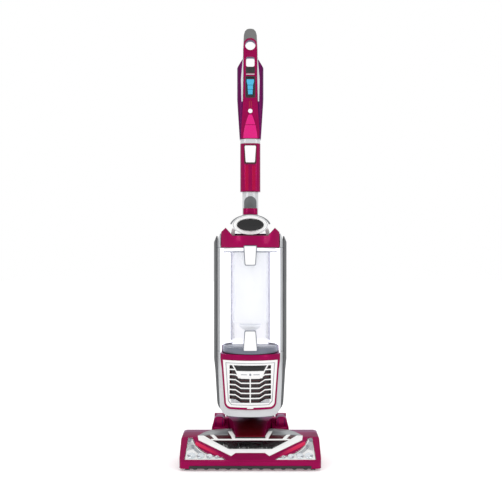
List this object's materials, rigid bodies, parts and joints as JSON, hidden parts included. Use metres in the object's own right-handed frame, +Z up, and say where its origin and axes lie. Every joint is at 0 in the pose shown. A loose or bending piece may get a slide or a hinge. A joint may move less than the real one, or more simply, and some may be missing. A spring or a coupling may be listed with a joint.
{
  "type": "upright vacuum cleaner",
  "caption": "Upright bagless vacuum cleaner: powered floor nozzle with brush roll, swivelling neck, clear dust cup in a U frame, wand, hose and looped handle.",
  "frame": {"origin": "on the floor, under the middle of the cleaner's outer box", "axes": "+X to the right, the front faces -Y, +Z up"},
  "size_m": [0.356, 0.3, 1.156],
  "materials": {
    "magenta_plastic": "candy gloss",
    "maroon_plastic": "gloss",
    "silver_plastic": "silver paint",
    "white_plastic": "gloss",
    "grey_plastic": "satin",
    "black_plastic": "satin",
    "smoked_plastic": "smoked clear",
    "clear_plastic": "clear",
    "chromed_plastic": "bright",
    "rubber": "matte",
    "wheel_plastic": "matte",
    "steel": "bright zinc",
    "brass_pinion": "machined",
    "nylon_bristle": "stiff nylon",
    "filter_medium": "pleated paper",
    "foam": "open-cell foam",
    "cyan_plastic": "gloss",
    "hose_plastic": "satin",
    "fan_aluminium": "cast"
  },
  "bodies": {
    "nozzle": {"nozzle_base": "magenta_plastic", "nozzle_cover": "magenta_plastic", "trim_frame": "silver_plastic", "brush_window": "smoked_plastic", "headlight_left": "clear_plastic", "headlight_right": "clear_plastic", "reflectors": "chromed_plastic", "bumper_strip": "black_plastic", "brush_chamber": "black_plastic", "brush_motor": "black_plastic", "drive_belt": "rubber", "intake_duct": "black_plastic", "neck_hood": "maroon_plastic", "rear_carriage": "magenta_plastic", "axle_pins": "steel", "sole_screws": "steel"},
    "brush": {"brush_roll": "black_plastic", "bristles": "nylon_bristle"},
    "pinion": {"motor_pinion": "brass_pinion"},
    "left_wheel": {"wheel_left": "wheel_plastic"},
    "right_wheel": {"wheel_right": "wheel_plastic"},
    "left_roller": {"roller_left": "wheel_plastic"},
    "right_roller": {"roller_right": "wheel_plastic"},
    "neck": {"pivot_barrel": "grey_plastic"},
    "upright": {"spine_tube": "silver_plastic", "u_frame": "silver_plastic", "side_panel_left": "grey_plastic", "side_panel_right": "grey_plastic", "back_shell": "maroon_plastic", "base_housing": "magenta_plastic", "motor_case": "black_plastic", "hepa_filter": "filter_medium", "pre_motor_foam": "foam", "lid_housing": "magenta_plastic", "carry_handle": "silver_plastic", "badge": "black_plastic", "wand_tube": "silver_plastic", "wand_foot": "magenta_plastic", "wand_collar": "magenta_plastic", "handle_shell": "maroon_plastic", "handle_fascia": "magenta_plastic", "handle_trims": "silver_plastic", "handle_cap": "rubber", "hose_elbow": "grey_plastic", "hose": "hose_plastic", "hose_inlet": "grey_plastic", "cord_hook_lower": "grey_plastic", "cord_gland": "rubber"},
    "fan": {"fan_rotor": "fan_aluminium"},
    "filter_door": {"grille_cover": "white_plastic"},
    "cup": {"dust_cup": "clear_plastic", "cyclone_shroud": "grey_plastic", "cup_door": "grey_plastic"},
    "cup_top_catch": {"top_latch": "white_plastic"},
    "cup_door_catch": {"bottom_latch": "white_plastic"},
    "slider": {"power_slider": "cyan_plastic"},
    "round_button": {"handle_button": "white_plastic"},
    "wand_button": {"release_button": "white_plastic"},
    "wand_catch": {"wand_latch": "grey_plastic"},
    "upper_hook": {"cord_hook_upper": "grey_plastic"}
  },
  "joints": [
    {"name": "brush_spin", "type": "hinge", "parent": "nozzle", "child": "brush", "pos_m": [0, -0.09, 0.024], "axis": [1, 0, 0], "continuous": true},
    {"name": "pinion_spin", "type": "hinge", "parent": "nozzle", "child": "pinion", "pos_m": [0, -0.03, 0.036], "axis": [1, 0, 0], "continuous": true},
    {"name": "left_wheel_spin", "type": "hinge", "parent": "nozzle", "child": "left_wheel", "pos_m": [0, 0.112, 0.025], "axis": [1, 0, 0], "continuous": true},
    {"name": "right_wheel_spin", "type": "hinge", "parent": "nozzle", "child": "right_wheel", "pos_m": [0, 0.112, 0.025], "axis": [1, 0, 0], "continuous": true},
    {"name": "left_roller_spin", "type": "hinge", "parent": "nozzle", "child": "left_roller", "pos_m": [0, -0.132, 0.0075], "axis": [1, 0, 0], "continuous": true},
    {"name": "right_roller_spin", "type": "hinge", "parent": "nozzle", "child": "right_roller", "pos_m": [0, -0.132, 0.0075], "axis": [1, 0, 0], "continuous": true},
    {"name": "recline", "type": "hinge", "parent": "nozzle", "child": "neck", "pos_m": [0, 0.085, 0.08], "axis": [-1, 0, 0], "range_deg": [0, 65]},
    {"name": "swivel", "type": "hinge", "parent": "neck", "child": "upright", "pos_m": [0, 0.085, 0.106], "axis": [0, 0, 1], "range_deg": [-35, 35]},
    {"name": "fan_spin", "type": "hinge", "parent": "upright", "child": "fan", "pos_m": [0, -0.02, 0.141], "axis": [0, 0, 1], "continuous": true},
    {"name": "filter_door_hinge", "type": "hinge", "parent": "upright", "child": "filter_door", "pos_m": [0, -0.084, 0.147], "axis": [1, 0, 0], "range_deg": [0, 70]},
    {"name": "cup_slide", "type": "slide", "parent": "upright", "child": "cup", "axis": [0, -1, 0], "range_m": [0, 0.16]},
    {"name": "top_catch_hinge", "type": "hinge", "parent": "cup", "child": "cup_top_catch", "pos_m": [0, -0.0806, 0.513], "axis": [1, 0, 0], "range_deg": [0, 14], "stiffness_Nm_per_rad": 0.05},
    {"name": "door_catch_hinge", "type": "hinge", "parent": "cup", "child": "cup_door_catch", "pos_m": [0, -0.0806, 0.346], "axis": [-1, 0, 0], "range_deg": [0, 14], "stiffness_Nm_per_rad": 0.05},
    {"name": "power_slide", "type": "slide", "parent": "upright", "child": "slider", "axis": [0, 0, 1], "range_m": [-0.005, 0.005]},
    {"name": "round_button_press", "type": "slide", "parent": "upright", "child": "round_button", "axis": [0, 1, 0], "range_m": [0, 0.002], "stiffness_N_per_m": 400},
    {"name": "wand_button_press", "type": "slide", "parent": "upright", "child": "wand_button", "axis": [0, 1, 0], "range_m": [0, 0.004], "stiffness_N_per_m": 400},
    {"name": "wand_catch_hinge", "type": "hinge", "parent": "upright", "child": "wand_catch", "pos_m": [0, 0.0644, 0.6678], "axis": [1, 0, 0], "range_deg": [0, 12], "stiffness_Nm_per_rad": 0.05},
    {"name": "upper_hook_turn", "type": "hinge", "parent": "upright", "child": "upper_hook", "pos_m": [-0.05, 0.056, 0.539], "axis": [0, -1, 0], "range_deg": [0, 180]}
  ],
  "couplings": [
    {"joint": "pinion_spin", "follows": "brush_spin", "ratio": 2}
  ]
}
